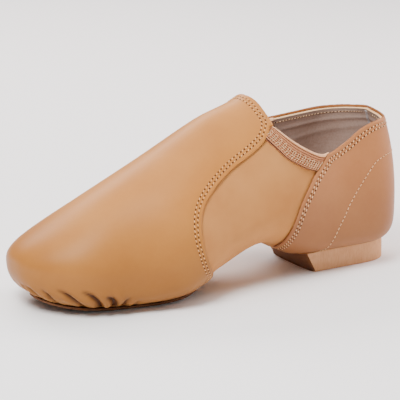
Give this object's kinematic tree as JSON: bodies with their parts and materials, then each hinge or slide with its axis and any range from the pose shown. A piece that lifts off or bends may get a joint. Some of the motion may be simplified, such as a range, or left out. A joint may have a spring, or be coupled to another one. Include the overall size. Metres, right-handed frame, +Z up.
{
  "type": "jazz dance shoe",
  "caption": "Left slip-on split-sole jazz dance shoe: tan leather vamp and quarters, stretch side gores with elastic, low heel block.",
  "frame": {"origin": "centre of the heel block's ground face, on the floor", "axes": "+X towards the toe, +Y towards the shoe's left (its outer side), +Z up"},
  "size_m": [0.235, 0.0838, 0.1023],
  "materials": {
    "stretch_cloth": "matt fine-ribbed stretch cloth with a taupe lining",
    "leather": "smooth satin tan leather",
    "elastic": "ribbed woven elastic",
    "suede_sole": "rough brown suede",
    "heel_block": "matt tan",
    "sock": "matt taupe cloth"
  },
  "bodies": {
    "root": {"upper": "stretch_cloth", "vamp": "leather", "quarter_left": "leather", "quarter_right": "leather", "elastic_left": "elastic", "elastic_right": "elastic", "forefoot_sole": "suede_sole", "heel": "heel_block", "insole": "sock"}
  },
  "joints": []
}
